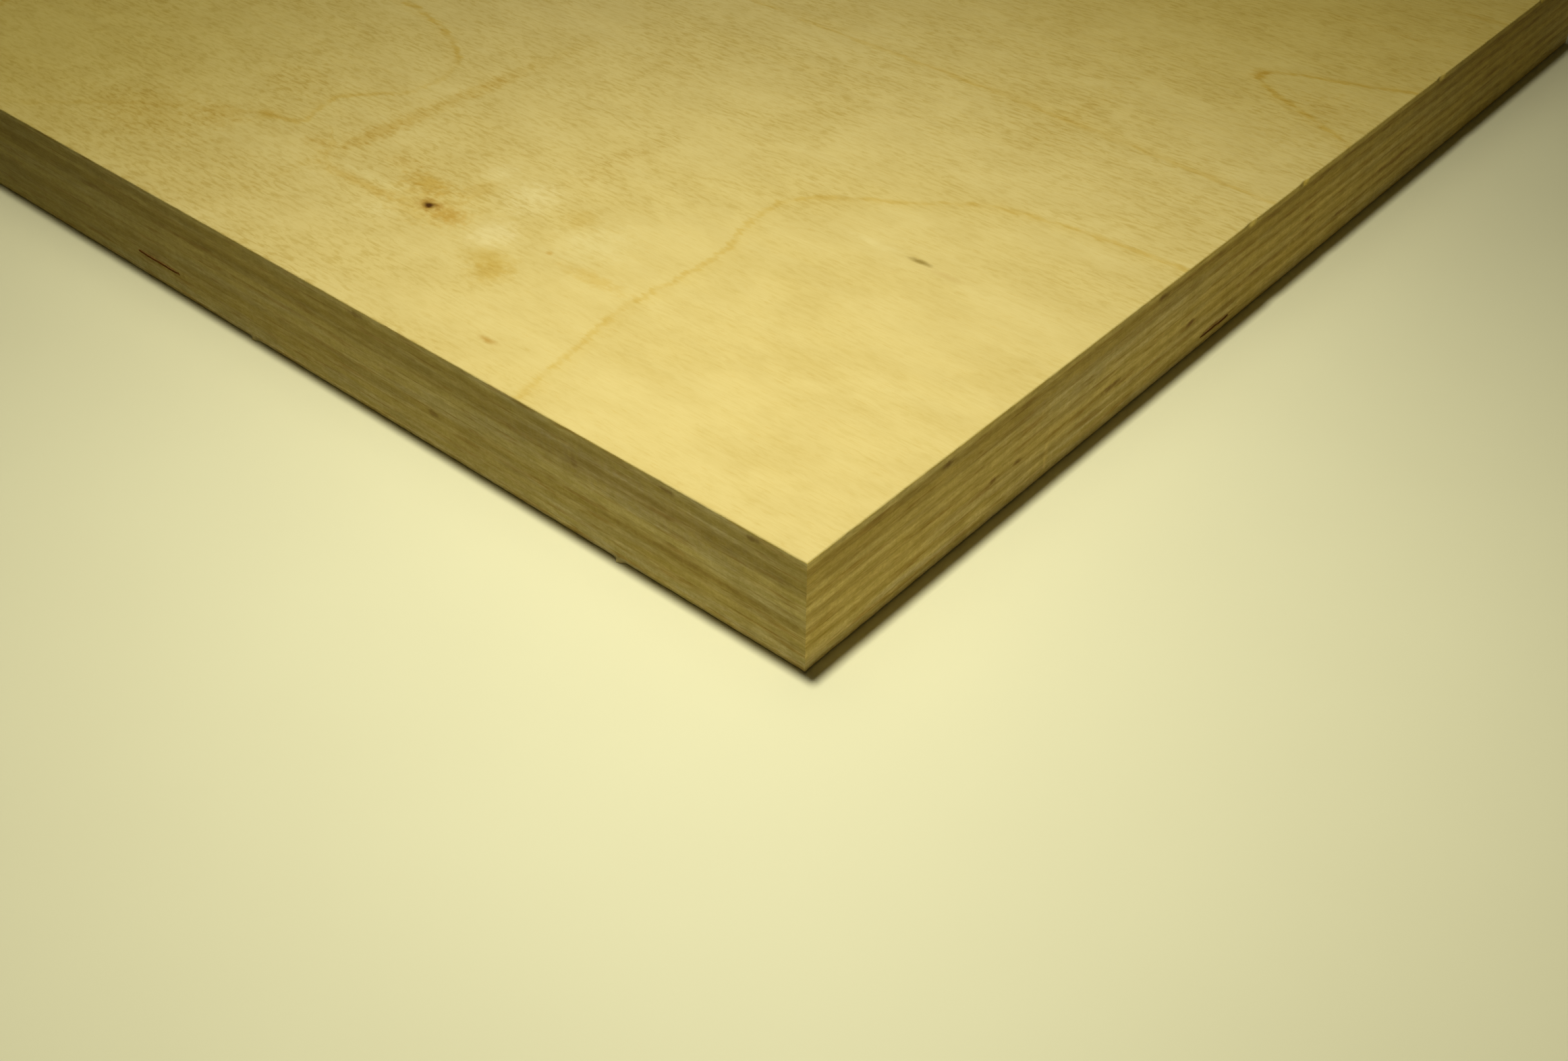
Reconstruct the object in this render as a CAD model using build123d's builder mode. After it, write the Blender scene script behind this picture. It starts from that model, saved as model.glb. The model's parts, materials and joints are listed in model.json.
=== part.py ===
import os

from build123d import *

os.makedirs("parts", exist_ok=True)

# Millimetres, +Z up. The origin is under the sheet's middle. The face grain runs along Y.
sheet_width = 300
sheet_length = 600
ply_count = 15
ply_thickness = 1.4
arris_chamfer = 0.2

# Two splits are open in the edges: one in the near long run of ply 2, one in the side of ply 4.
front_split_ply = 2
front_split_from_corner = 119.5
front_split_length = 11
front_split_height = 0.8
front_split_depth = 7
side_split_ply = 4
side_split_from_corner = 164
side_split_length = 14
side_split_height = 0.7
side_split_depth = 5


def ply_name(number):
    if number == 1:
        return "back_veneer"
    if number == ply_count:
        return "face_veneer"
    direction = "long" if number % 2 else "cross"
    return f"{direction}_veneer_{number:02d}"


for number in range(1, ply_count + 1):
    underside = (number - 1) * ply_thickness
    middle = underside + ply_thickness / 2
    with BuildPart() as veneer:
        with BuildSketch(Plane.XY.offset(underside)):
            Rectangle(sheet_width, sheet_length)
        extrude(amount=ply_thickness)

        # Only the two outer veneers have an arris that sanding has eased.
        if number == 1:
            chamfer(veneer.faces().sort_by(Axis.Z)[0].edges(), arris_chamfer)
        if number == ply_count:
            chamfer(veneer.faces().sort_by(Axis.Z)[-1].edges(), arris_chamfer)

        if number == front_split_ply:
            front_split_x = front_split_from_corner - sheet_width / 2
            with Locations((front_split_x, -sheet_length / 2, middle)):
                Box(front_split_length, 2 * front_split_depth, front_split_height, mode=Mode.SUBTRACT)
        if number == side_split_ply:
            side_split_y = side_split_from_corner - sheet_length / 2
            with Locations((-sheet_width / 2, side_split_y, middle)):
                Box(2 * side_split_depth, side_split_length, side_split_height, mode=Mode.SUBTRACT)

    veneer.part.label = ply_name(number)
    export_step(veneer.part, f"parts/{ply_name(number)}.step")
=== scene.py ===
import json
import math

import bmesh
import bpy
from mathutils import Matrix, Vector, kdtree


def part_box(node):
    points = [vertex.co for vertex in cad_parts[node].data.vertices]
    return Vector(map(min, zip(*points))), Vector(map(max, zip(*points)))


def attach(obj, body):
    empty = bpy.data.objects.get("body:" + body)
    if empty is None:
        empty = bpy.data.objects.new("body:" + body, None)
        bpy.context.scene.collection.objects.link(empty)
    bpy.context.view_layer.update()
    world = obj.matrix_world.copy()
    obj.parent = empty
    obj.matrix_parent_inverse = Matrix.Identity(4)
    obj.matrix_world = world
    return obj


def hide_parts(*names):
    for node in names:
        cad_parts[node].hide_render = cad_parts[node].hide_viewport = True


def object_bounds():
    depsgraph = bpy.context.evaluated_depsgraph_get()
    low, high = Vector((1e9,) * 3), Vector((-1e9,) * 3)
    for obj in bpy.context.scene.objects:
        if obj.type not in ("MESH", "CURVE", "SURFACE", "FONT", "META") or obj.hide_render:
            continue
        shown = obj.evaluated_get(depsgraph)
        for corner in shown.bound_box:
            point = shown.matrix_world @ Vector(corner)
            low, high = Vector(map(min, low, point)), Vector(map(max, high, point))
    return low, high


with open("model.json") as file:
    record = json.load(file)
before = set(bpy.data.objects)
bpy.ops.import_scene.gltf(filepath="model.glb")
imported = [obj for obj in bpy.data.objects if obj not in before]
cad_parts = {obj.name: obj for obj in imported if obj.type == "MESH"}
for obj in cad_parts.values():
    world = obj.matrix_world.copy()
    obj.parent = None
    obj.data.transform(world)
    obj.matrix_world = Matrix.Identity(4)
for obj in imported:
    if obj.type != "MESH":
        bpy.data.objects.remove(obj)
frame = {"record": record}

cadLow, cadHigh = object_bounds()
mm = 0.001
sheetWidth = cadHigh.x - cadLow.x
sheetLength = cadHigh.y - cadLow.y
sheetTop = cadHigh.z
plyNames = [row["node"] for row in frame["record"]["subparts"]]
plySlots = {row["node"]: row["material_slot"] for row in frame["record"]["subparts"]}
plyThickness = sheetTop / len(plyNames)


def fromCorner(across, along, up=0.0):
    # millimetres from the near corner, as every mark is given
    return Vector((cadLow.x + across * mm, cadLow.y + along * mm, up * mm))


# Small helpers for objects

def clearSelection():
    if bpy.context.mode != "OBJECT":
        bpy.ops.object.mode_set(mode="OBJECT")
    bpy.ops.object.select_all(action="DESELECT")


def makeActive(piece):
    clearSelection()
    piece.select_set(True)
    bpy.context.view_layer.objects.active = piece


def selectWhere(piece, kind, test):
    # picks vertices, edges or faces of the mesh in edit mode by their place
    mesh = bmesh.from_edit_mesh(piece.data)
    bpy.ops.mesh.select_mode(type={"verts": "VERT", "edges": "EDGE", "faces": "FACE"}[kind])
    bpy.ops.mesh.select_all(action="DESELECT")
    for item in getattr(mesh, kind):
        if test(item):
            item.select_set(True)
    mesh.select_flush_mode()
    bmesh.update_edit_mesh(piece.data)


def applyModifiers(piece):
    makeActive(piece)
    for modifier in list(piece.modifiers):
        bpy.ops.object.modifier_apply(modifier=modifier.name)


# Small helpers for node trees

nodeRow = {"count": 12, "width": 190, "height": 220}


def addNode(tree, kind, **values):
    node = tree.nodes.new(kind)
    row, column = divmod(len(tree.nodes), nodeRow["count"])
    node.location = (nodeRow["width"] * column, -nodeRow["height"] * row)
    for name, value in values.items():
        setattr(node, name, value)
    return node


def feed(tree, socket, value):
    # links a socket, or sets the value typed in, where a colour has no alpha
    if isinstance(value, bpy.types.NodeSocket):
        tree.links.new(value, socket)
    else:
        socket.default_value = (*value, 1) if socket.type == "RGBA" else value


def calc(tree, operation, *values):
    node = addNode(tree, "ShaderNodeMath", operation=operation)
    for socket, value in zip(node.inputs, values):
        feed(tree, socket, value)
    return node.outputs[0]


def vectorCalc(tree, operation, *values):
    node = addNode(tree, "ShaderNodeVectorMath", operation=operation)
    for socket, value in zip(node.inputs, values):
        feed(tree, socket, value)
    return node.outputs["Value" if operation == "LENGTH" else "Vector"]


def mixValues(tree, first, second, share):
    # so much of the second value, and the rest of the first
    rest = calc(tree, "MULTIPLY", first, 1 - share)
    return calc(tree, "ADD", rest, calc(tree, "MULTIPLY", second, share))


def ramp(tree, value, fromLow, fromHigh, toLow=0.0, toHigh=1.0):
    node = addNode(tree, "ShaderNodeMapRange", interpolation_type="SMOOTHSTEP")
    for socket, number in zip(node.inputs, (value, fromLow, fromHigh, toLow, toHigh)):
        feed(tree, socket, number)
    return node.outputs[0]


def noise(tree, vector, stretch, detail=3.0, roughness=0.5, distortion=0.0):
    # stretch is cycles per millimetre across and along; the vector's Z isn't used
    node = addNode(tree, "ShaderNodeTexNoise", noise_dimensions="2D")
    feed(tree, node.inputs["Vector"], vectorCalc(tree, "MULTIPLY", vector, (*stretch, 1.0)))
    node.inputs["Scale"].default_value = 1.0
    node.inputs["Detail"].default_value = detail
    node.inputs["Roughness"].default_value = roughness
    node.inputs["Distortion"].default_value = distortion
    return node.outputs["Fac"]


def fadedNoise(tree, vector, stretch, levels, **shape):
    # noise that fades in between two levels, and between two values where four numbers are given
    return ramp(tree, noise(tree, vector, stretch, **shape), *levels)


def tint(tree, factor, base, colour, blend="MIX"):
    node = addNode(tree, "ShaderNodeMix", data_type="RGBA", blend_type=blend, clamp_factor=True)
    feed(tree, node.inputs["Factor"], factor)
    feed(tree, node.inputs["A"], base)
    feed(tree, node.inputs["B"], colour)
    return node.outputs["Result"]


def splitVector(tree, vector):
    node = addNode(tree, "ShaderNodeSeparateXYZ")
    feed(tree, node.inputs[0], vector)
    return node.outputs


def joinVector(tree, x, y, z):
    node = addNode(tree, "ShaderNodeCombineXYZ")
    for socket, value in zip(node.inputs, (x, y, z)):
        feed(tree, socket, value)
    return node.outputs[0]


def newGroup(name, inputs, outputs):
    tree = bpy.data.node_groups.new(name, "ShaderNodeTree")
    for label, value in inputs.items():
        kind = "NodeSocketFloat" if isinstance(value, float) else "NodeSocketVector"
        socket = tree.interface.new_socket(label, in_out="INPUT", socket_type=kind)
        socket.default_value = value
    for label in outputs:
        tree.interface.new_socket(label, in_out="OUTPUT", socket_type="NodeSocketFloat")
    return tree, addNode(tree, "NodeGroupInput").outputs, addNode(tree, "NodeGroupOutput").inputs


def useGroup(tree, group, **values):
    node = addNode(tree, "ShaderNodeGroup", node_tree=group)
    for label, value in values.items():
        feed(tree, node.inputs[label], value)
    return node.outputs


def cornerMillimetres(tree):
    # object coordinates turned into millimetres from the near corner
    coordinates = addNode(tree, "ShaderNodeTexCoord")
    mapping = addNode(tree, "ShaderNodeMapping")
    mapping.inputs["Location"].default_value = -cadLow / mm
    mapping.inputs["Scale"].default_value = (1 / mm, 1 / mm, 1 / mm)
    tree.links.new(coordinates.outputs["Object"], mapping.inputs["Vector"])
    return mapping.outputs[0]


def readAttribute(tree, name, output="Fac"):
    node = addNode(tree, "ShaderNodeAttribute", attribute_type="GEOMETRY", attribute_name=name)
    return node.outputs[output]


def newMaterial(name):
    material = bpy.data.materials.new(name)
    material.use_nodes = True
    tree = material.node_tree
    return material, tree, tree.nodes["Principled BSDF"]


def addBump(tree, shader, height, look):
    bump = addNode(tree, "ShaderNodeBump")
    bump.inputs["Strength"].default_value = look["strength"]
    bump.inputs["Distance"].default_value = look["depth"] * mm
    feed(tree, bump.inputs["Height"], height)
    tree.links.new(bump.outputs[0], shader.inputs["Normal"])


# Camera: placed from the photograph's two edges and the sheet's thickness

cameraView = {
    "fromCorner": (-130.2, -106.1, 166.5),
    "heading": 40.28,       # degrees from the near edge towards the side edge
    "downTilt": 39.75,
    "roll": 0.57,
    "lens": 37.2,
    "sensor": 36,
    "clip": (0.005, 60),    # metres
}


def makeCamera():
    turn = (math.radians(90 - cameraView["downTilt"]), 0, math.radians(cameraView["heading"] - 90))
    bpy.ops.object.camera_add(location=fromCorner(*cameraView["fromCorner"]), rotation=turn)
    camera = bpy.context.object
    camera.rotation_euler.rotate_axis("Z", math.radians(cameraView["roll"]))
    camera.data.lens = cameraView["lens"]
    camera.data.sensor_width = cameraView["sensor"]
    camera.data.clip_start, camera.data.clip_end = cameraView["clip"]
    bpy.context.scene.camera = camera


clearSelection()
makeCamera()
print("camera placed")


# Floor and light

floorLook = {
    "size": 40.0,           # metres
    "colour": (0.81, 0.80, 0.735),
    "mottle": (0.78, 0.765, 0.70),
    "stretch": (0.02, 0.02),
    "roughness": 0.6,
    "specular": 0.5,
}
# places and sizes are in millimetres and spreads in degrees
lampLook = {
    "fromCorner": (12.4, 26.0, 221.0),
    "radius": 10.0,
    "power": 1.96,
    "colour": (1.0, 0.965, 0.60),
}
# two soft square lamps above the sheet's far half, which leave its two near edges in their own shade
softLamps = [
    {"name": "farLamp", "fromCorner": (190.0, 490.0, 620.0), "aim": (190.0, 490.0, 0.0),
     "size": 400.0, "spread": 60.0, "power": 0.10, "colour": (1.0, 0.95, 0.60)},
    {"name": "roomLamp", "fromCorner": (230.0, 430.0, 800.0), "aim": (200.0, 380.0, 0.0),
     "size": 600.0, "spread": 90.0, "power": 0.44, "colour": (1.0, 0.93, 0.50)},
]
fillLook = {"colour": (1.0, 0.85, 0.30), "strength": 0.02}      # the room's own faint light


def makeFloor():
    bpy.ops.mesh.primitive_plane_add(size=floorLook["size"], location=(0, 0, 0))
    floor = bpy.context.object
    floor.name = "paleFloor"
    material, tree, shader = newMaterial("paleFloor")
    cloud = noise(tree, cornerMillimetres(tree), floorLook["stretch"])
    feed(tree, shader.inputs["Base Color"], tint(tree, cloud, floorLook["colour"], floorLook["mottle"]))
    shader.inputs["Roughness"].default_value = floorLook["roughness"]
    shader.inputs["Specular IOR Level"].default_value = floorLook["specular"]
    floor.data.materials.append(material)


def addLamp(name, kind, place, turn, look):
    bpy.ops.object.light_add(type=kind, location=place, rotation=turn)
    lamp = bpy.context.object
    lamp.name = name
    lamp.data.energy = look["power"]
    lamp.data.color = look["colour"]
    lamp.visible_camera = False
    return lamp.data


def makeLights():
    bulb = addLamp("deskLamp", "POINT", fromCorner(*lampLook["fromCorner"]), (0, 0, 0), lampLook)
    bulb.shadow_soft_size = lampLook["radius"] * mm
    for look in softLamps:
        place, aim = fromCorner(*look["fromCorner"]), fromCorner(*look["aim"])
        turn = (aim - place).to_track_quat("-Z", "Y").to_euler()
        panel = addLamp(look["name"], "AREA", place, turn, look)
        panel.size = look["size"] * mm
        panel.spread = math.radians(look["spread"])
    world = bpy.data.worlds.new("softRoom")
    bpy.context.scene.world = world
    world.use_nodes = True
    background = world.node_tree.nodes["Background"]
    feed(world.node_tree, background.inputs["Color"], fillLook["colour"])
    background.inputs["Strength"].default_value = fillLook["strength"]
    bpy.context.scene.view_settings.view_transform = "Standard"


makeFloor()
makeLights()
print("floor and light ready")


# Shared shader groups

# each pattern has its stretch in cycles per millimetre, and the noise's levels between which it
# fades in
fibreLook = {
    "Fibre": {"stretch": (2.6, 0.055), "roughness": 0.62, "levels": (0.28, 0.72)},
    "Fleck": {"stretch": (1.3, 0.30), "roughness": 0.62, "distortion": 0.3, "levels": (0.40, 0.72)},
    "Streak": {"stretch": (0.28, 0.012), "roughness": 0.55, "levels": (0.30, 0.70)},
}
poreLook = {"stretch": (3.4, 0.30), "detail": 1, "roughness": 0.4}
poreFade = 0.09
spotFade = (1.0, 0.1)       # where a spot ends and where it is full, as shares of its size
ringLook = {
    "wobbles": (((0.30, 0.30), 2.0), ((1.1, 0.13), 2.4)),   # stretch, and millimetres from side to side
    "wobbleRoughness": 0.6,
    "breaks": {"stretch": (0.45, 0.16), "detail": 2, "levels": (0.30, 0.60, 0.35, 1.0)},
    "core": (1.25, 0.1),    # millimetres from the line where its core ends and where it is full
    "shadeAside": 1.2,      # millimetres from the line to the middle of its shade
    "shadeReach": 2.8,
}
sawLook = {
    "Marks": {"stretch": (0.85, 0.03), "roughness": 0.6, "levels": (0.30, 0.70)},
    "Scuff": {"stretch": (0.14, 0.10), "detail": 2, "levels": (0.35, 0.65)},
}
sawSlant = 0.22


def fibreGroup():
    # fine fibres, short flecks, wider streaks and pores; the vector's Y runs along the grain
    tree, given, out = newGroup(
        "woodFibre",
        {"Vector": (0.0, 0.0, 0.0), "Pore Cover": 0.6},
        (*fibreLook, "Pores"),
    )
    for name, look in fibreLook.items():
        tree.links.new(fadedNoise(tree, given["Vector"], **look), out[name])
    cover = given["Pore Cover"]
    pores = ramp(tree, noise(tree, given["Vector"], **poreLook), cover, calc(tree, "ADD", cover, poreFade))
    tree.links.new(pores, out["Pores"])
    return tree


def spotGroup():
    # a soft ragged patch round a place, 1 in the middle and 0 outside its size
    tree, given, out = newGroup(
        "softSpot",
        {"Vector": (0.0, 0.0, 0.0), "Centre": (0.0, 0.0, 0.0), "Size": (1.0, 1.0, 1.0),
         "Rough": 0.5, "Ragged": 0.3},
        ("Mask",),
    )
    away = vectorCalc(tree, "SUBTRACT", given["Vector"], given["Centre"])
    away = vectorCalc(tree, "LENGTH", vectorCalc(tree, "DIVIDE", away, given["Size"]))
    rough = calc(tree, "MULTIPLY", calc(tree, "SUBTRACT", given["Rough"], 0.5), given["Ragged"])
    tree.links.new(ramp(tree, calc(tree, "ADD", away, rough), *spotFade), out["Mask"])
    return tree


def ringGroup():
    # growth-ring lines from the drawn curves: a thin dark core with a softer shade on one side
    tree, given, out = newGroup(
        "growthRing",
        {"Vector": (0.0, 0.0, 0.0), "Offset": 0.0, "Strength": 0.0},
        ("Core", "Shade"),
    )
    offset = given["Offset"]
    for stretch, reach in ringLook["wobbles"]:
        wobble = noise(tree, given["Vector"], stretch, roughness=ringLook["wobbleRoughness"])
        wobble = calc(tree, "MULTIPLY", calc(tree, "SUBTRACT", wobble, 0.5), reach)
        offset = calc(tree, "ADD", offset, wobble)
    broken = fadedNoise(tree, given["Vector"], **ringLook["breaks"])
    strength = calc(tree, "MULTIPLY", given["Strength"], broken)
    core = ramp(tree, calc(tree, "ABSOLUTE", offset), *ringLook["core"])
    aside = calc(tree, "ABSOLUTE", calc(tree, "ADD", offset, ringLook["shadeAside"]))
    shade = ramp(tree, aside, ringLook["shadeReach"], 0.0)
    tree.links.new(calc(tree, "MULTIPLY", core, strength), out["Core"])
    tree.links.new(calc(tree, "MULTIPLY", shade, strength), out["Shade"])
    return tree


def sawGroup():
    # marks that the saw leaves across all the plies; the vector is along the edge and up
    tree, given, out = newGroup("sawMarks", {"Vector": (0.0, 0.0, 0.0)}, tuple(sawLook))
    along, up = splitVector(tree, given["Vector"])[:2]
    slanted = joinVector(tree, calc(tree, "ADD", along, calc(tree, "MULTIPLY", up, sawSlant)), up, 0.0)
    for name, look in sawLook.items():
        tree.links.new(fadedNoise(tree, slanted, **look), out[name])
    return tree


woodFibre = fibreGroup()
softSpot = spotGroup()
growthRing = ringGroup()
sawMarks = sawGroup()
print("shader groups ready")

raggedStretch = (0.75, 0.55)    # of the noise that makes a mark's outline ragged
anyHeight = 1000.0              # millimetres, so that a spot shows at every height


def paintMarks(tree, place, colour, marks, flecks=1.0):
    # each mark multiplies the colour inside its own ragged spot, or mostly in the flecks there
    rough = noise(tree, place, raggedStretch)
    for centre, size, markColour, ragged, inFlecks in marks:
        spot = useGroup(tree, softSpot, **{
            "Vector": place, "Centre": (*centre, 0.0), "Size": (*size, anyHeight),
            "Rough": rough, "Ragged": ragged,
        })
        mask = spot["Mask"]
        if inFlecks:
            mask = calc(tree, "MULTIPLY", mask, ramp(tree, flecks, 0.0, 1.0, 1 - inFlecks, 1.0))
        colour = tint(tree, mask, colour, markColour, "MULTIPLY")
    return colour


# The face: sanded rotary-cut birch

faceLook = {
    "light": (0.66, 0.55, 0.31),
    "warm": (0.62, 0.505, 0.26),
    "fibre": (0.985, 0.975, 0.95),          # these multiply the wood's colour
    "fleck": (0.845, 0.795, 0.63),
    "mottle": (0.96, 0.95, 0.92),
    "pores": (0.97, 0.945, 0.88),
    "ringCore": (0.90, 0.82, 0.55),
    "ringShade": (0.985, 0.965, 0.90),
    "poreCover": 0.66,
    "fibreRise": 0.5,                       # the fibres' height beside the pores' depth
    "roughness": (0.50, 0.62),
    "specular": 0.3,
    "bump": {"strength": 0.25, "depth": 0.025},
}
faceNoise = {
    "cloud": {"stretch": (0.06, 0.035), "detail": 4, "roughness": 0.6, "distortion": 0.5},
    "mottle": {"stretch": (0.13, 0.075), "detail": 2, "levels": (0.35, 0.65)},
}
# what the cloud does: the levels between which the wood turns warm, with the streaks' share in that,
# and the levels between which it has fewer or more flecks
faceCloud = {"warm": (0.30, 0.70), "streakShare": 0.4, "flecks": (0.30, 0.62, 0.5, 1.0)}
# the wood round the near corner has fainter flecks
quietPart = {"Centre": (35.0, 25.0, 0.0), "Size": (125.0, 125.0, anyHeight), "Ragged": 0.6}
quietFlecks = 0.33

# pin knots: place from the near corner and radius, in millimetres
faceKnots = [(31.5, 117.5, 1.3), (214, 330, 1.0), (96, 505, 1.3), (262, 205, 0.9)]
backKnots = [(70, 120, 1.1), (226, 388, 1.3), (130, 520, 0.9)]

# each mark's place and size in millimetres, the colour it multiplies by, how ragged it is, and how
# much of it keeps to the flecks
faceMarksAndPaintedShade = [
    # round the near knot
    ((45, 105), (9, 8), (1.10, 1.15, 1.36), 1.2, 0),
    ((32, 100.5), (7, 7), (1.11, 1.16, 1.40), 1.0, 0),
    ((48, 116.5), (6, 4), (1.06, 1.09, 1.20), 1.2, 0),
    ((24.5, 123), (4, 8), (1.06, 1.09, 1.20), 1.2, 0),
    ((41, 84), (11, 9), (1.04, 1.07, 1.17), 1.2, 0),
    ((31.3, 133), (1.6, 17), (1.07, 1.11, 1.24), 0.9, 0),
    ((28.4, 134), (2.0, 17), (0.92, 0.85, 0.66), 1.2, 0),
    ((36.8, 124), (4.4, 9.0), (0.87, 0.77, 0.50), 1.0, 0),
    ((39.5, 134), (4.0, 8.0), (0.91, 0.84, 0.66), 1.2, 0.6),
    ((31, 111.5), (4.0, 6.0), (0.87, 0.75, 0.50), 1.0, 0),
    ((41.5, 115), (6.0, 4.0), (0.93, 0.88, 0.74), 1.2, 0),
    ((46, 92.5), (5.0, 4.8), (0.94, 0.90, 0.77), 1.1, 0),
    ((25.5, 94), (4.8, 8.5), (0.90, 0.835, 0.61), 0.9, 0),
    ((22.4, 91), (5.2, 5.6), (0.90, 0.83, 0.61), 0.9, 0),
    ((33, 76), (2.6, 11), (0.94, 0.88, 0.71), 1.2, 0),
    ((34, 88), (0.9, 1.2), (0.86, 0.74, 0.52), 0.8, 0),
    ((8.3, 75), (1.0, 3.0), (0.76, 0.62, 0.40), 0.7, 0),
    ((75, 47), (1.5, 10), (1.04, 1.06, 1.13), 1.0, 0),
    ((75, 37), (1.05, 3.9), (0.50, 0.45, 0.30), 0.5, 0),
    ((74, 30.5), (1.3, 5.0), (0.93, 0.89, 0.85), 0.8, 0),
    # bands across the grain, made of flecks
    ((60, 148), (62, 4.2), (0.93, 0.88, 0.72), 1.1, 0.4),
    ((45, 148), (15, 4.0), (0.89, 0.81, 0.60), 1.1, 0.4),
    ((72, 148), (14, 3.6), (0.92, 0.86, 0.70), 1.1, 0.5),
    ((33.5, 154), (3.0, 5.0), (0.89, 0.81, 0.60), 1.0, 0.3),
    ((64, 103), (28, 5.5), (0.92, 0.88, 0.78), 1.2, 0.7),
    ((145, 48.5), (28, 4.0), (0.93, 0.89, 0.77), 1.2, 0.6),
    ((20, 191), (15, 24), (0.88, 0.81, 0.60), 1.2, 0.5),
    ((28, 178), (7, 9), (0.88, 0.80, 0.58), 1.2, 0.4),
    ((48, 180), (14, 14), (0.91, 0.86, 0.70), 1.2, 0.7),
    ((34, 171), (3.4, 4.0), (0.91, 0.85, 0.64), 1.0, 0),
    ((180, 12), (12, 10), (0.94, 0.90, 0.78), 1.2, 0.5),
    ((186, 29.5), (4.0, 3.4), (0.88, 0.80, 0.58), 0.9, 0),
    ((162, 14), (7, 11), (0.95, 0.92, 0.82), 1.2, 0.5),
    ((226, 18), (2.6, 26), (0.94, 0.89, 0.74), 1.2, 0.6),
    ((247, 6), (2.0, 12), (0.95, 0.91, 0.78), 1.2, 0),
    # painted shade: broad patches further from the lamp made yellower, and the far left one darker, as the
    # wood looks in its dimmer light
    ((260, 40), (150, 150), (1.0, 0.965, 0.70), 0.2, 0),
    ((20, 260), (130, 130), (0.91, 0.895, 0.66), 0.2, 0),
    # on the part that the photograph doesn't reach
    ((188, 412), (6, 10), (0.93, 0.86, 0.67), 1.4, 0),
    ((60, 300), (0.9, 3.6), (0.46, 0.39, 0.29), 0.8, 0),
    ((246, 520), (0.8, 3.0), (0.54, 0.45, 0.32), 0.8, 0),
    ((120, 392), (70, 4.0), (0.96, 0.91, 0.77), 1.7, 0),
    ((205, 540), (60, 3.6), (0.96, 0.92, 0.79), 1.7, 0),
    ((221, 318), (8, 9), (1.04, 1.05, 1.10), 1.4, 0),
]
backMarks = [
    ((182, 96), (5.5, 10), (0.92, 0.84, 0.64), 1.4, 0),
    ((52, 418), (1.0, 3.8), (0.50, 0.42, 0.30), 0.8, 0),
    ((250, 260), (4.0, 8.0), (0.94, 0.87, 0.70), 1.4, 0),
    ((150, 210), (90, 4.0), (0.96, 0.92, 0.79), 1.7, 0),
]
# the same for a knot of 1 mm radius: its halo, brown ring and near-black middle
knotSpots = [
    ((7, 12), (0.96, 0.91, 0.77), 1.4),
    ((2.2, 3.2), (0.70, 0.54, 0.28), 0.9),
    ((1.1, 1.5), (0.15, 0.08, 0.02), 0.6),
]


def knotMarks(knots):
    # the spots of every knot, as wide as its radius makes them
    return [((across, along), (width * radius, length * radius), colour, ragged, 0)
            for across, along, radius in knots
            for (width, length), colour, ragged in knotSpots]


def faceMaterial(name, marks):
    material, tree, shader = newMaterial(name)
    place = cornerMillimetres(tree)
    wood = useGroup(tree, woodFibre, **{"Vector": place, "Pore Cover": faceLook["poreCover"]})
    cloud = noise(tree, place, **faceNoise["cloud"])
    warmth = ramp(tree, cloud, *faceCloud["warm"])
    warmth = mixValues(tree, warmth, wood["Streak"], faceCloud["streakShare"])
    colour = tint(tree, warmth, faceLook["light"], faceLook["warm"])
    mottle = fadedNoise(tree, place, **faceNoise["mottle"])
    colour = tint(tree, mottle, colour, faceLook["mottle"], "MULTIPLY")
    quiet = useGroup(tree, softSpot, **{"Vector": place, "Rough": cloud, **quietPart})
    flecks = calc(tree, "MULTIPLY", wood["Fleck"], ramp(tree, cloud, *faceCloud["flecks"]))
    flecks = calc(tree, "MULTIPLY", flecks, ramp(tree, quiet["Mask"], 0.0, 1.0, 1.0, quietFlecks))
    ring = useGroup(tree, growthRing, **{
        "Vector": place,
        "Offset": readAttribute(tree, "ringOffset"),
        "Strength": readAttribute(tree, "ringStrength"),
    })
    for mask, part in ((wood["Fibre"], "fibre"), (flecks, "fleck"), (wood["Pores"], "pores"),
                       (ring["Shade"], "ringShade"), (ring["Core"], "ringCore")):
        colour = tint(tree, mask, colour, faceLook[part], "MULTIPLY")
    feed(tree, shader.inputs["Base Color"], paintMarks(tree, place, colour, marks, wood["Fleck"]))
    feed(tree, shader.inputs["Roughness"], ramp(tree, wood["Streak"], 0.0, 1.0, *faceLook["roughness"]))
    shader.inputs["Specular IOR Level"].default_value = faceLook["specular"]
    fibres = calc(tree, "MULTIPLY", wood["Fibre"], faceLook["fibreRise"])
    addBump(tree, shader, calc(tree, "SUBTRACT", fibres, wood["Pores"]), faceLook["bump"])
    return material


# The sawn edges

edgeLook = {
    "longLight": (0.78, 0.61, 0.275),
    "longDark": (0.68, 0.51, 0.21),
    "endLight": (0.80, 0.625, 0.275),
    "endDark": (0.74, 0.57, 0.245),
    "band": (0.91, 0.885, 0.78),            # these multiply the wood's colour
    "streak": (0.87, 0.85, 0.70),
    "speck": (0.915, 0.90, 0.81),
    "grey": (0.97, 0.99, 1.16),
    "blotch": (0.84, 0.75, 0.58),
    "pores": (0.93, 0.89, 0.83),
    "marks": (0.98, 0.975, 0.965),
    "scuff": (0.94, 0.935, 0.92),
    "joint": (0.95, 0.93, 0.89),
    "jointHalf": 0.3,                       # millimetres each side of a joint
    "cellShare": 0.4,                       # and the rays have the rest
    "poreCover": 0.64,
    "roughness": 0.72,
    "specular": 0.2,
    "bump": {"strength": 0.15, "depth": 0.05},
}
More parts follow.
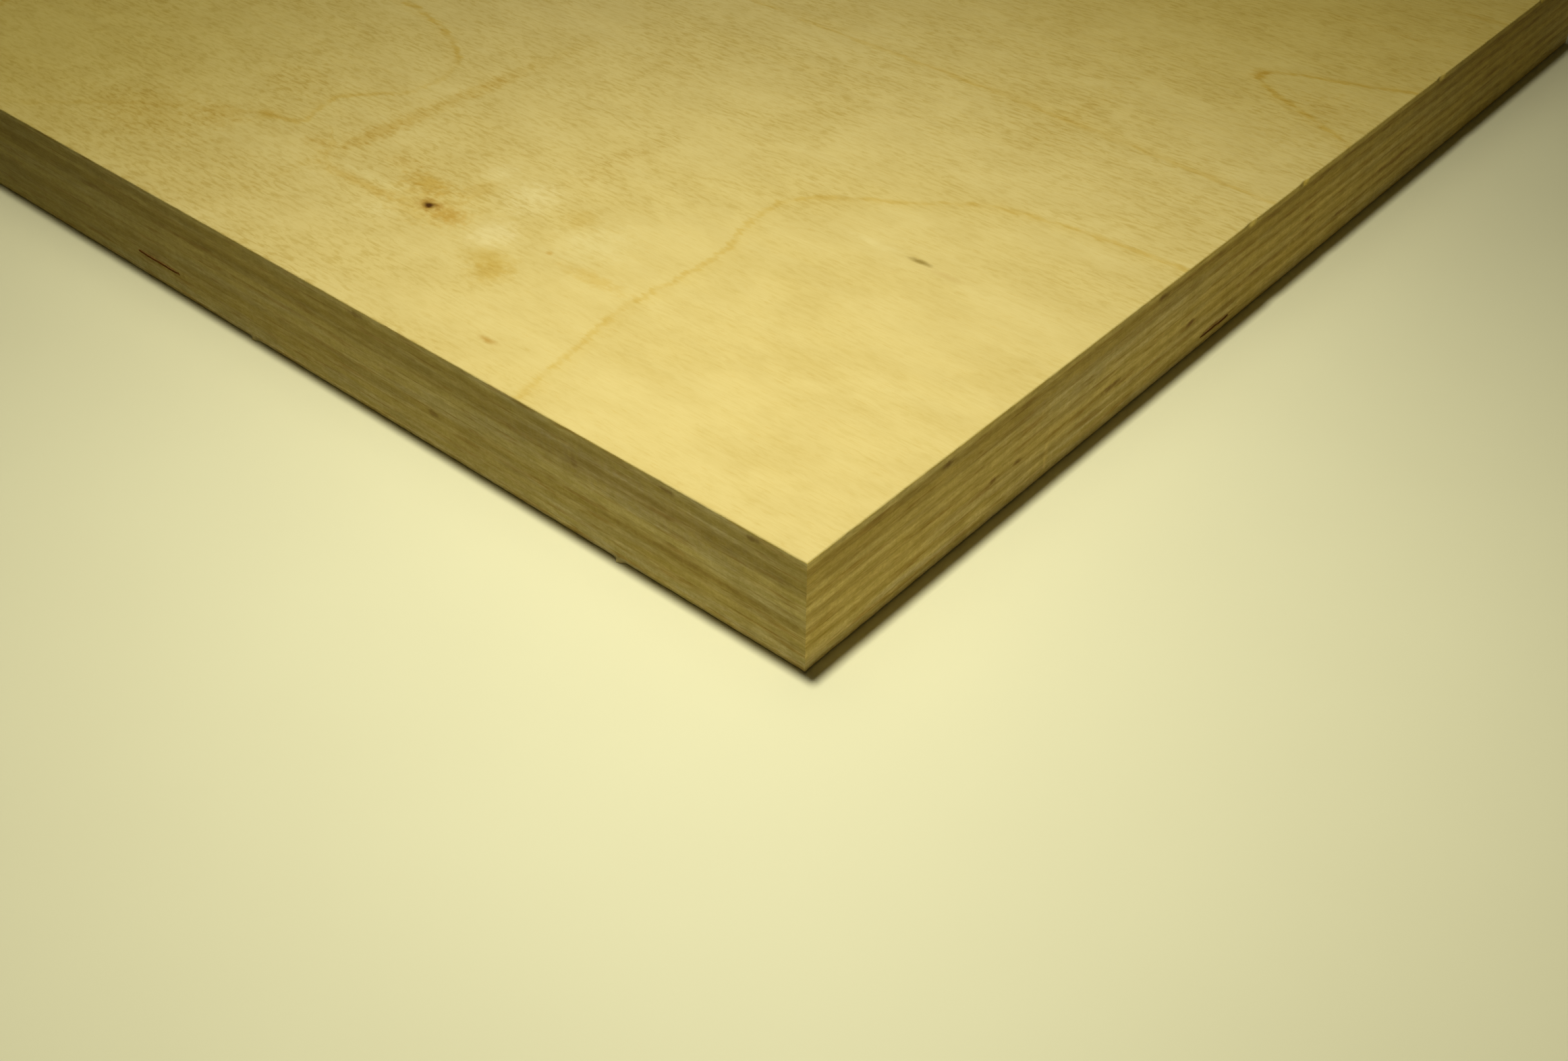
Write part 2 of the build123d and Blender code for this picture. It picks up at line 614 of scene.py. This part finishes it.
edgeNoise = {
    "rays": {"stretch": (2.0, 0.55), "roughness": 0.6},
    "cells": {"stretch": (5.5, 5.5), "detail": 1, "roughness": 0.7},
    "blotch": {"stretch": (0.10, 0.85), "roughness": 0.55, "levels": (0.48, 0.72)},
    "band": {"stretch": (0.018, 0.65), "roughness": 0.55, "levels": (0.38, 0.64)},
    "streak": {"stretch": (0.20, 1.1), "roughness": 0.55, "levels": (0.38, 0.64)},
    "speck": {"stretch": (0.95, 2.6), "roughness": 0.55, "levels": (0.38, 0.64)},
    "grey": {"stretch": (0.035, 0.28), "levels": (0.45, 0.65)},
    "joint": {"stretch": (0.05, 0.45), "levels": (0.40, 0.65)},
}
cellLevels = (0.35, 0.65)

# stains, and painted light and shade, on the two near edges: along and up, with the front edge's along as
# plus and the left edge's as minus, and the rest as on the face
edgeStainsAndPaintedLight = [
    # painted shade, partly the torn wood's own brown: the edge darkened round each split's mouth
    ((119.4, 2.3), (7.2, 1.2), (0.62, 0.48, 0.32), 0.6, 0),
    ((-163, 4.9), (10.0, 1.1), (0.64, 0.52, 0.38), 0.8, 0),
    # painted light and shade: the edges lighter near the corner under the lamp, and darker and browner
    # further off where its light falls away
    ((-225, 10), (120, 60), (0.67, 0.64, 0.44), 0.2, 0),
    ((-120, 10), (70, 60), (0.96, 0.94, 0.84), 0.2, 0),
    ((-10, 10), (60, 60), (1.14, 1.14, 1.12), 0.2, 0),
    ((250, 10), (90, 60), (0.80, 0.75, 0.46), 0.2, 0),
    ((150, 10), (80, 60), (1.0, 0.97, 0.78), 0.2, 0),
    ((-36, 15.6), (36, 4.5), (0.98, 0.99, 1.38), 1.0, 0),
    ((92, 14.8), (60, 4.0), (1.02, 1.05, 1.32), 1.0, 0),
    ((33, 19.2), (2.4, 1.0), (0.52, 0.42, 0.30), 0.8, 0),
    ((96, 19.3), (2.6, 1.0), (0.58, 0.48, 0.36), 0.8, 0),
    ((46.5, 8.2), (1.6, 0.8), (0.56, 0.44, 0.31), 0.8, 0),
    ((53, 8.0), (1.6, 0.8), (0.56, 0.44, 0.31), 0.8, 0),
    ((81.5, 8.0), (5.0, 0.9), (0.54, 0.42, 0.28), 0.8, 0),
    ((108.5, 7.9), (2.0, 0.9), (0.56, 0.43, 0.29), 0.8, 0),
    ((140, 7.8), (17, 0.6), (0.84, 0.77, 0.66), 1.2, 0),
    ((153.5, 10.6), (2.4, 0.7), (0.72, 0.58, 0.44), 1.0, 0),
    ((170, 5.3), (5.5, 0.8), (0.74, 0.64, 0.52), 1.2, 0),
    ((196, 7.8), (22, 0.7), (0.82, 0.74, 0.62), 1.2, 0),
    ((62, 4.0), (1.0, 5.5), (1.16, 1.16, 1.18), 1.2, 0),
    ((-10, 19.8), (2.6, 0.8), (0.56, 0.48, 0.38), 1.0, 0),
    ((-27, 19.7), (2.2, 0.7), (0.66, 0.58, 0.48), 1.0, 0),
    ((-99, 19.7), (3.0, 0.8), (0.64, 0.56, 0.46), 1.0, 0),
    ((-22, 7.9), (26, 0.75), (0.80, 0.74, 0.64), 1.0, 0),
    ((-47, 14.6), (1.6, 2.6), (0.78, 0.72, 0.64), 1.4, 0),
    ((-81, 7.7), (2.2, 0.9), (0.70, 0.62, 0.52), 1.2, 0),
    ((-6, 1.9), (3.2, 1.3), (1.10, 1.09, 1.06), 1.0, 0),
]


def edgeMillimetres(tree):
    # along the edge and up: x on the front edge, minus y on the left one
    x, y, z = splitVector(tree, cornerMillimetres(tree))[:3]
    return joinVector(tree, calc(tree, "SUBTRACT", x, y), z, 0.0)


def edgeMaterial(name, isEndGrain):
    material, tree, shader = newMaterial(name)
    place = edgeMillimetres(tree)
    along, up = splitVector(tree, place)[:2]
    saw = useGroup(tree, sawMarks, Vector=place)
    if isEndGrain:
        rays, cells = [noise(tree, place, **edgeNoise[part]) for part in ("rays", "cells")]
        height = mixValues(tree, rays, cells, edgeLook["cellShare"])
        colour = tint(tree, ramp(tree, height, *cellLevels), edgeLook["endLight"], edgeLook["endDark"])
    else:
        wood = useGroup(tree, woodFibre, **{
            "Vector": joinVector(tree, up, along, 0.0), "Pore Cover": edgeLook["poreCover"],
        })
        colour = tint(tree, wood["Fibre"], edgeLook["longLight"], edgeLook["longDark"])
        blotch = fadedNoise(tree, place, **edgeNoise["blotch"])
        colour = tint(tree, blotch, colour, edgeLook["blotch"], "MULTIPLY")
        colour = tint(tree, wood["Pores"], colour, edgeLook["pores"], "MULTIPLY")
        height = calc(tree, "SUBTRACT", wood["Fibre"], wood["Pores"])
    for part in ("band", "streak", "speck", "grey"):
        cloud = fadedNoise(tree, place, **edgeNoise[part])
        colour = tint(tree, cloud, colour, edgeLook[part], "MULTIPLY")
    joint = ramp(tree, calc(tree, "PINGPONG", up, plyThickness / mm / 2), edgeLook["jointHalf"], 0.0)
    joint = calc(tree, "MULTIPLY", joint, fadedNoise(tree, place, **edgeNoise["joint"]))
    for mask, part in ((joint, "joint"), (saw["Marks"], "marks"), (saw["Scuff"], "scuff")):
        colour = tint(tree, mask, colour, edgeLook[part], "MULTIPLY")
    colour = paintMarks(tree, place, colour, edgeStainsAndPaintedLight)
    colour = tint(tree, 1.0, colour, readAttribute(tree, "plyToneAndPaintedLight", "Color"), "MULTIPLY")
    feed(tree, shader.inputs["Base Color"], colour)
    shader.inputs["Roughness"].default_value = edgeLook["roughness"]
    shader.inputs["Specular IOR Level"].default_value = edgeLook["specular"]
    addBump(tree, shader, calc(tree, "ADD", height, saw["Marks"]), edgeLook["bump"])
    return material


splitLook = {
    "light": (0.68, 0.42, 0.15),
    "dark": (0.50, 0.29, 0.09),
    "stretch": (0.8, 4.0),
    "roughness": 0.85,
}


def splitMaterial():
    material, tree, shader = newMaterial("splitWood")
    torn = noise(tree, edgeMillimetres(tree), splitLook["stretch"])
    feed(tree, shader.inputs["Base Color"], tint(tree, torn, splitLook["light"], splitLook["dark"]))
    shader.inputs["Roughness"].default_value = splitLook["roughness"]
    return material


birchFace = faceMaterial("birchFace", faceMarksAndPaintedShade + knotMarks(faceKnots))
birchBack = faceMaterial("birchBack", backMarks + knotMarks(backKnots))
birchEnd = edgeMaterial("birchEndGrain", True)
birchLong = edgeMaterial("birchLongGrain", False)
splitWood = splitMaterial()
print("materials ready")


# Growth rings, drawn as curves on the face and read into the veneer

# each line's strength, and its points in millimetres across and along from the near corner
faceRings = [
    (0.75, [(-2, 59), (15, 62), (30, 66), (45, 64.5), (57, 65.5), (68, 70), (79, 69), (86, 59),
            (91, 51), (97, 44), (101, 38), (102, 28), (104, 14), (103.5, -2)]),
    (1.2, [(200, -2), (194, 12), (192, 21), (188, 29), (184, 30), (178, 21), (173, 11), (166, -2)]),
    (0.65, [(135, -2), (137, 15), (138.5, 35), (140.5, 60), (142, 85), (142.5, 110), (144, 135),
            (146, 165), (151, 200), (149, 240), (155, 275), (170, 305), (176, 345), (168, 388),
            (150, 414), (128, 422), (112, 405), (104, 372), (103, 330), (97, 290), (94, 250)]),
    (1.2, [(94, 250), (92, 215), (90.5, 195), (87, 180), (82, 169), (77, 162)]),
    (0.45, [(77, 162), (71, 158.5), (65, 157), (59, 158.5)]),
    (0.8, [(59, 158.5), (53, 164), (49, 167.5), (43, 166), (38, 163), (35.5, 163.5), (35.5, 168),
            (34.5, 173)]),
    (0.4, [(34.5, 173), (30, 177), (26, 186), (20, 196), (12, 205), (2, 216), (-2, 224)]),
    (0.5, [(36.5, 152.5), (34.5, 150.5), (31, 148.5), (29, 145)]),
    (0.75, [(302, 96), (284, 120), (262, 150), (248, 190), (243, 240), (236, 290), (228, 340),
            (221, 395), (205, 440), (180, 470), (150, 482), (118, 474), (92, 452), (74, 415),
            (60, 370), (52, 320), (44, 275), (28, 262), (10, 262), (-2, 268)]),
    (0.7, [(118, 180), (124, 215), (128, 255), (133, 300), (134, 340), (126, 368), (118, 355),
            (117, 320), (113, 280), (110, 240), (110, 205), (113, 185), (118, 180)]),
    (0.75, [(-2, 400), (18, 420), (34, 455), (48, 500), (70, 540), (100, 560), (140, 565),
            (190, 548), (232, 515), (262, 470), (280, 420), (292, 370), (302, 330)]),
    (0.75, [(-2, 520), (20, 540), (34, 570), (40, 602)]),
    (0.7, [(302, 520), (275, 545), (262, 575), (258, 602)]),
    (0.7, [(302, 235), (287, 255), (281, 280), (287, 305), (302, 318)]),
    (0.75, [(302, 30), (283, 38), (272, 48), (281, 60), (302, 66)]),
]
backRings = [
    (0.75, [(60, -2), (66, 40), (72, 90), (70, 150), (80, 210), (96, 260), (104, 320), (98, 380),
            (84, 430), (80, 490), (88, 545), (92, 602)]),
    (0.75, [(110, -2), (114, 50), (122, 110), (126, 170), (140, 220), (158, 262), (163, 310),
            (155, 352), (142, 370), (130, 340), (128, 290), (118, 240), (104, 180), (98, 120),
            (92, 60), (86, -2)]),
    (0.7, [(205, -2), (199, 60), (207, 130), (222, 190), (226, 260), (216, 330), (220, 400),
            (236, 460), (240, 530), (232, 602)]),
    (0.7, [(180, 430), (196, 460), (204, 500), (200, 540), (186, 556), (172, 530), (168, 490),
            (170, 455), (180, 430)]),
    (0.75, [(302, 180), (280, 215), (268, 260), (276, 320), (302, 360)]),
    (0.7, [(-2, 330), (24, 372), (36, 430), (30, 480), (-2, 520)]),
]
ringDrawing = {
    "smoothness": 24,       # steps between points of the curve
    "step": 0.5,            # millimetres between samples
    "reach": 4.0,           # millimetres from a line within which the veneer carries it
}


def drawLine(points):
    # a smooth curve through given points, as its evaluated vertices
    bpy.ops.curve.primitive_nurbs_path_add(location=(0, 0, 0))
    curve = bpy.context.object
    curve.data.splines.clear()
    spline = curve.data.splines.new("NURBS")
    spline.points.add(len(points) - 1)
    for point, (across, along) in zip(spline.points, points):
        point.co = (*fromCorner(across, along), 1.0)
    spline.order_u = 3
    spline.use_endpoint_u = True
    curve.data.resolution_u = ringDrawing["smoothness"]
    line = bpy.data.meshes.new_from_object(curve.evaluated_get(bpy.context.evaluated_depsgraph_get()))
    places = [vertex.co.copy() for vertex in line.vertices]
    bpy.data.meshes.remove(line)
    bpy.data.objects.remove(curve)
    return places


def readRings(lines):
    # every point of every line with the way across it and its strength, in one search tree
    samples = []
    for strength, points in lines:
        places = drawLine(points)
        for here, ahead in zip(places, places[1:]):
            step = ahead - here
            if step.length == 0:
                continue
            sideways = Vector((-step.y, step.x, 0)).normalized()
            parts = max(1, round(step.length / (ringDrawing["step"] * mm)))
            samples += [(here + step * part / parts, sideways, strength) for part in range(parts)]
    tree = kdtree.KDTree(len(samples))
    for number, (spot, sideways, strength) in enumerate(samples):
        tree.insert((spot.x, spot.y, 0), number)
    tree.balance()
    return tree, samples


def storeRings(piece, lines):
    reach = ringDrawing["reach"]
    tree, samples = readRings(lines)
    offsets, strengths = [], []
    for vertex in piece.data.vertices:
        flat = Vector((vertex.co.x, vertex.co.y, 0))
        spot, number, far = tree.find(flat)
        sideways, strength = samples[number][1:]
        sign = 1 if (flat - spot).dot(sideways) >= 0 else -1
        offsets.append(sign * min(far / mm, 2 * reach))
        strengths.append(strength if far < reach * mm else 0)
    for name, values in (("ringOffset", offsets), ("ringStrength", strengths)):
        piece.data.attributes.new(name, "FLOAT", "POINT").data.foreach_set("value", values)


# Veneers

veneerShape = {
    "faceStep": 2.0,        # millimetres between points on the two faces
    "edgeCuts": 2,          # points that an edge has between two of those
    "firstStep": 20.0,      # an edge is divided in two goes, because one makes a hundred cuts at most
    "rows": [0.35, 0.35, 0.35, 0.35],
    "splitRows": [0.3, 0.4, 0.4, 0.3],
    # from the face: height, and how far out
    "arrisRows": [(0.08, 0.14), (0.12, 0.06), (0.4, 0), (0.4, 0), (0.4, 0)],
    "mergeWithin": 0.001,
    "smoothAngle": 25,
}
tolerance = 0.01            # millimetres

# how far the saw left the cross plies back, in millimetres, and each ply's tone from the underside up, on
# the ends and on the sides;
# the underside ply's tone is raised as painted light against the shade beside the floor, and the top ply's
# a little as a painted glow from the bright face
plyLook = {
    "crossRecess": 0.008,
    "endTint": (1.01, 1.01, 0.80),
    "endTone": [1.32, 1.20, 1.14, 0.90, 1.07, 0.92, 1.05, 0.93, 1.08, 0.92, 1.00, 0.86, 0.87, 0.78, 1.04],
    "sideTint": (0.84, 0.895, 0.86),
    "sideTone": [1.50, 1.04, 1.03, 0.91, 0.99, 0.80, 1.02, 1.00, 1.05, 0.95, 0.89, 0.73, 0.98, 0.80, 1.08],
    "depth": (0.0, 0.25, 1.6),      # how much more than that the darker plies lose of each colour
    "brightest": 1.15,              # the tone past which the lighter plies gain no more
    "blend": 0.25,                  # share of a ply over which it meets its neighbour
}

# each side's axis and direction
sides = {"front": (1, -1), "rear": (1, 1), "left": (0, -1), "right": (0, 1)}

# how faces are told apart, with their places in millimetres behind an edge
edgeParts = {
    "rim": 0.7,             # what lies nearer than this and is upright is a sawn edge
    "skin": 0.1,            # what lies further in than this is inside a split, up to its reach
    "splitReach": 10,
    "upright": 0.7,         # how far up or down a sawn face's normal may point
}

# the saw's relief, in millimetres: its waves' size, their depth and how far in the rim reaches
edgeRelief = {
    "size": 2.2,
    "depth": 0.06,
    "rim": 0.6,
    "octaves": 2,
    "ends": (0.3, 0.78),    # the cloud's levels with no depth and with all of it
    "knee": (0.6, 0.35),    # the level up to which it is only waves, and their share of the depth
}

# the two open splits, each in the edge of one cross ply: the mouth steps back to torn fibres, which
# leave a slit above them, and it closes towards its ends and a little in the middle
splits = {
    "cross_veneer_02": {
        "side": "front", "middle": 119.5, "length": 11, "lip": 0.28, "depth": 7, "pinch": 0.7},
    "cross_veneer_04": {
        "side": "left", "middle": 164, "length": 14, "lip": 0.28, "depth": 5, "pinch": 0.85},
}
splitShape = {
    "ends": [(0.0, 0.8, 0.45), (0.8, 1.6, 0.8)],    # millimetres from an end, from and to, and openness
    "pinched": 0.8,         # millimetres each side of the middle
    "near": 0.1,            # millimetres, within which a place counts as at a given depth
    "half": 0.45,           # millimetres above and below the ply's middle that the mouth is within
    "inside": (0.7, 0.35),  # the slit's length and openness at its bottom
    "insideUp": 0.2,        # millimetres from the ply's middle to the slit
}

# where the saw broke the face's front arris, and where it left splinters along the left side's foot
chips = [
    {"across": 127, "length": 4.6, "inwards": 0.35, "down": 0.28},
    {"across": 148, "length": 3.4, "inwards": 0.38, "down": 0.24},
    {"across": 211, "length": 4.6, "inwards": 0.35, "down": 0.28},
    {"across": 268, "length": 2.6, "inwards": 0.30, "down": 0.25},
]
chipBites = [(-0.3, 0.45), (0.0, 0.9), (0.25, 0.6)]     # along the chip, and share of its depth
splinters = [{"along": 37.9, "out": 0.8}, {"along": 133.8, "out": 0.6}, {"along": 402, "out": 0.5}]
# millimetres from the arris and from the place to what is picked, and how far its pull is felt
arrisPull = {"rim": 0.3, "pick": 0.4, "reach": 1.1}
# a knot's pit: its depth and the finer patch round it in millimetres, that patch's cuts, and its
# bottom and reach as shares of the knot's radius
knotPit = {"depth": 0.12, "patch": 4.0, "cuts": 3, "bottom": 0.6, "reach": 1.3}


def atLevel(level):
    # a test for edges or vertices that lie at one height
    def test(item):
        corners = getattr(item, "verts", [item])
        return all(abs(vertex.co.z - level) < tolerance * mm for vertex in corners)
    return test


def behindEdge(place, side):
    # how far a place lies behind one of the four edges
    axis, sign = sides[side]
    return (sheetWidth, sheetLength)[axis] / 2 - place[axis] * sign


def runsAlong(edge, axis):
    # whether an edge of the outline lies along an axis and is still too long
    return abs(edge.verts[0].co[axis] - edge.verts[1].co[axis]) > veneerShape["firstStep"] / 2 * mm


def startVeneer(name, halfSize, level, withGrid):
    # the outline at one level, with an even grid of faces in it where a face will show
    step, cuts = veneerShape["faceStep"], veneerShape["edgeCuts"]
    cells = [round(2 * half / (step * mm)) for half in halfSize]
    if withGrid:
        bpy.ops.mesh.primitive_grid_add(
            x_subdivisions=cells[0], y_subdivisions=cells[1], size=1, location=(0, 0, level))
    else:
        bpy.ops.mesh.primitive_plane_add(size=1, location=(0, 0, level))
    piece = bpy.context.object
    piece.name = name
    bpy.ops.object.transform_apply(location=True, rotation=True, scale=True)
    bpy.ops.object.mode_set(mode="EDIT")
    bpy.ops.transform.resize(value=(2 * halfSize[0], 2 * halfSize[1], 1), center_override=(0, 0, level))
    if withGrid:
        selectWhere(piece, "edges", lambda edge: edge.is_boundary)
        bpy.ops.mesh.subdivide(number_cuts=cuts)
        return piece
    bpy.ops.mesh.delete(type="ONLY_FACE")
    stepsInFirst = round(veneerShape["firstStep"] / step)
    for axis in (0, 1):
        for parts in (round(cells[axis] / stepsInFirst), stepsInFirst * (cuts + 1)):
            selectWhere(piece, "edges", lambda edge: runsAlong(edge, axis))
            bpy.ops.mesh.subdivide(number_cuts=parts - 1)
    return piece


def selectOpenLoop(piece, level):
    onLevel = atLevel(level)
    selectWhere(piece, "edges", lambda edge: len(edge.link_faces) < 2 and onLevel(edge))


def extendLoop(piece, level, rise, halfSize, outwards):
    # extrudes the open loop at one height up or down, and draws it in or lets it out
    selectOpenLoop(piece, level)
    bpy.ops.mesh.extrude_edges_move(TRANSFORM_OT_translate={"value": (0, 0, rise)})
    wider = (halfSize[0] + outwards, halfSize[1] + outwards)
    if outwards:
        spread = (wider[0] / halfSize[0], wider[1] / halfSize[1], 1)
        bpy.ops.transform.resize(value=spread, center_override=(0, 0, level + rise))
    return level + rise, wider


def cutSplit(piece, name):
    split = splits[name]
    axis, sign = sides[split["side"]]
    run = 1 - axis
    middle = fromCorner(split["middle"], split["middle"])
    half = split["length"] / 2 * mm
    low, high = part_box(name)
    level = (low[2] + high[2]) / 2
    inwards = Vector((0, 0, 0))
    inwards[axis] = -sign * mm

    def inMouth(place, start, end, behind):
        # whether a place is in the mouth at one depth, from start up to end away from its middle
        fromMiddle = abs(place[run] - middle[run])
        isBehind = abs(behindEdge(place, split["side"]) - behind * mm) < splitShape["near"] * mm
        return isBehind and start <= fromMiddle < end and abs(place.z - level) < splitShape["half"] * mm

    def inLip(face):
        centre = face.calc_center_median()
        return inMouth(centre, 0, half, split["lip"]) and centre.z > level

    selectWhere(piece, "faces", lambda face: inMouth(face.calc_center_median(), 0, half, 0))
    bpy.ops.mesh.extrude_region_move(TRANSFORM_OT_translate={"value": inwards * split["lip"]})
    selectWhere(piece, "faces", inLip)
    deeper = inwards * (split["depth"] - split["lip"])
    bpy.ops.mesh.extrude_region_move(TRANSFORM_OT_translate={"value": deeper})
    slitLength, slitOpenness = splitShape["inside"]
    narrow = Vector((slitLength, slitLength, slitOpenness))
    narrow[axis] = 1
    slit = (middle.x, middle.y, level + splitShape["insideUp"] * mm)
    bpy.ops.transform.resize(value=narrow, center_override=slit)
    zones = [(half - end * mm, half - start * mm, openness) for start, end, openness in splitShape["ends"]]
    zones.append((0, splitShape["pinched"] * mm, split["pinch"]))
    for behind in (0, split["lip"]):
        for start, end, openness in zones:
            selectWhere(piece, "verts", lambda vertex: inMouth(vertex.co, start, end, behind))
            bpy.ops.transform.resize(value=(1, 1, openness), center_override=(0, 0, level))


def pullArris(piece, side, place, move, falloff):
    # pulls the arris of one side at a place, and less and less of it beside that
    run = 1 - sides[side][0]

    def isPicked(vertex):
        inRim = max(behindEdge(vertex.co, side), abs(vertex.co.z - place.z)) < arrisPull["rim"] * mm
        return inRim and abs(vertex.co[run] - place[run]) < arrisPull["pick"] * mm

    selectWhere(piece, "verts", isPicked)
    bpy.ops.transform.translate(
        value=[part * mm for part in move], use_proportional_edit=True,
        proportional_edit_falloff=falloff, proportional_size=arrisPull["reach"] * mm)


def breakArris(piece, chip):
    # three bites side by side, the middle one deepest
    for offset, share in chipBites:
        place = fromCorner(chip["across"] + offset * chip["length"], 0, sheetTop / mm)
        pullArris(piece, "front", place, (0, share * chip["inwards"], -share * chip["down"]), "SMOOTH")


def pullSplinter(piece, splinter):
    pullArris(piece, "left", fromCorner(0, splinter["along"]), (-splinter["out"], 0, 0), "SHARP")


def sinkKnot(piece, knot, level, depth):
    # a finer patch of the face round the knot, then a shallow pit in it
    across, along, radius = knot
    middle = fromCorner(across, along, level / mm)
    patch, bottom = knotPit["patch"] * mm, knotPit["bottom"] * radius * mm
    selectWhere(piece, "faces", lambda face: (face.calc_center_median() - middle).length < patch)
    bpy.ops.mesh.subdivide(number_cuts=knotPit["cuts"])
    selectWhere(piece, "verts", lambda vertex: (vertex.co - middle).length < bottom)
    bpy.ops.transform.translate(
        value=(0, 0, depth), use_proportional_edit=True,
        proportional_edit_falloff="SMOOTH", proportional_size=knotPit["reach"] * radius * mm)


def makeVeneer(name):
    low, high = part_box(name)
    showsFace = plySlots[name] == "face_wood"
    isTop = name == plyNames[-1]
    rows = [(rise, 0) for rise in veneerShape["splitRows" if name in splits else "rows"]]
    if showsFace:
        rows = veneerShape["arrisRows"]
    start = high[2] if isTop else low[2]
    drawnIn = sum(outwards for rise, outwards in rows)
    if name.startswith("cross"):
        drawnIn += plyLook["crossRecess"]
    halfSize = (sheetWidth / 2 - drawnIn * mm, sheetLength / 2 - drawnIn * mm)
    piece = startVeneer(name + "_wood", halfSize, start, showsFace)
    level = start
    for rise, outwards in rows:
        level, halfSize = extendLoop(piece, level, (-rise if isTop else rise) * mm, halfSize, outwards * mm)
    for end in [level] if showsFace else [start, level]:
        selectOpenLoop(piece, end)
        bpy.ops.mesh.edge_face_add()
    if isTop:
        for knot in faceKnots:
            sinkKnot(piece, knot, sheetTop, -knotPit["depth"] * mm)
        for chip in chips:
            breakArris(piece, chip)
    elif showsFace:
        for knot in backKnots:
            sinkKnot(piece, knot, 0, knotPit["depth"] * mm)
        for splinter in splinters:
            pullSplinter(piece, splinter)
    if name in splits:
        cutSplit(piece, name)
    bpy.ops.mesh.select_all(action="SELECT")
    bpy.ops.mesh.remove_doubles(threshold=veneerShape["mergeWithin"] * mm)
    bpy.ops.mesh.normals_make_consistent(inside=False)
    bpy.ops.object.mode_set(mode="OBJECT")
    return piece


def sawTexture():
    # shallow waves, and deeper tears where the cloud is densest
    texture = bpy.data.textures.new("sawnEdge", "CLOUDS")
    texture.noise_scale = edgeRelief["size"] * mm
    texture.noise_depth = edgeRelief["octaves"]
    texture.use_color_ramp = True
    for element, place, grey in zip(texture.color_ramp.elements, edgeRelief["ends"], (0.0, 1.0)):
        element.position = place
        element.color = (grey, grey, grey, 1)
    place, grey = edgeRelief["knee"]
    texture.color_ramp.elements.new(place).color = (grey, grey, grey, 1)
    return texture


def roughenEdges(piece, texture):
    # pushes the sawn sides in by a little, never out of the sheet
    for side, (axis, sign) in sides.items():
        vertices = piece.data.vertices
        rim = [vertex.index for vertex in vertices if behindEdge(vertex.co, side) < edgeRelief["rim"] * mm]
        piece.vertex_groups.new(name=side).add(rim, 1.0, "REPLACE")
        modifier = piece.modifiers.new(side, "DISPLACE")
        modifier.texture = texture
        modifier.texture_coords = "LOCAL"
        modifier.vertex_group = side
        modifier.direction = "XY"[axis]
        modifier.mid_level = 0
        modifier.strength = -sign * edgeRelief["depth"] * mm
    applyModifiers(piece)
    piece.vertex_groups.clear()


def toneAt(height, index, tones):
    # a ply's own tone, which meets its neighbour's half-way at their joint
    share = height / plyThickness - index
    neighbour, near = (index - 1, share) if share < 0.5 else (index + 1, 1 - share)
    if not 0 <= neighbour < len(tones):
        return tones[index]
    blend = 0.5 * max(0, 1 - near / plyLook["blend"])
    return tones[index] + (tones[neighbour] - tones[index]) * blend


def cornerShade(height, index, onEnd):
    # the colour that a sawn edge is multiplied by at one height in a ply
    tone = toneAt(height, index, plyLook["endTone" if onEnd else "sideTone"])
    wash = zip(plyLook["endTint" if onEnd else "sideTint"], plyLook["depth"])
    return [tone * part * min(tone, plyLook["brightest"]) ** power for part, power in wash]


def paintVeneer(piece, name, index):
    alongLength = not name.startswith("cross")
    woods = [birchFace if index else birchBack, birchEnd, birchLong, splitWood]
    for wood in woods:
        piece.data.materials.append(wood)
    shades = [1.0] * (4 * len(piece.data.loops))
    for face in piece.data.polygons:
        behind = {side: behindEdge(face.center, side) / mm for side in sides}
        onEnd = abs(face.normal.y) > abs(face.normal.x)
        isUpright = abs(face.normal.z) < edgeParts["upright"]
        isInside = min(behind.values()) >= edgeParts["skin"]
        if name in splits and isInside and behind[splits[name]["side"]] < edgeParts["splitReach"]:
            face.material_index = woods.index(splitWood)
        elif isUpright and min(behind.values()) < edgeParts["rim"]:
            face.material_index = woods.index(birchEnd if onEnd == alongLength else birchLong)
            for corner in face.loop_indices:
                height = piece.data.vertices[piece.data.loops[corner].vertex_index].co.z
                shades[4 * corner:4 * corner + 3] = cornerShade(height, index, onEnd)
    piece.data.attributes.new("plyToneAndPaintedLight", "FLOAT_COLOR", "CORNER").data.foreach_set("color", shades)


sawnEdge = sawTexture()
for index, name in enumerate(plyNames):
    clearSelection()
    veneer = makeVeneer(name)
    roughenEdges(veneer, sawnEdge)
    paintVeneer(veneer, name, index)
    makeActive(veneer)
    bpy.ops.object.shade_smooth_by_angle(angle=math.radians(veneerShape["smoothAngle"]))
    if plySlots[name] == "face_wood":
        storeRings(veneer, faceRings if index else backRings)
    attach(veneer, "root")
    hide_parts(name)
print("veneers made:", len(plyNames))
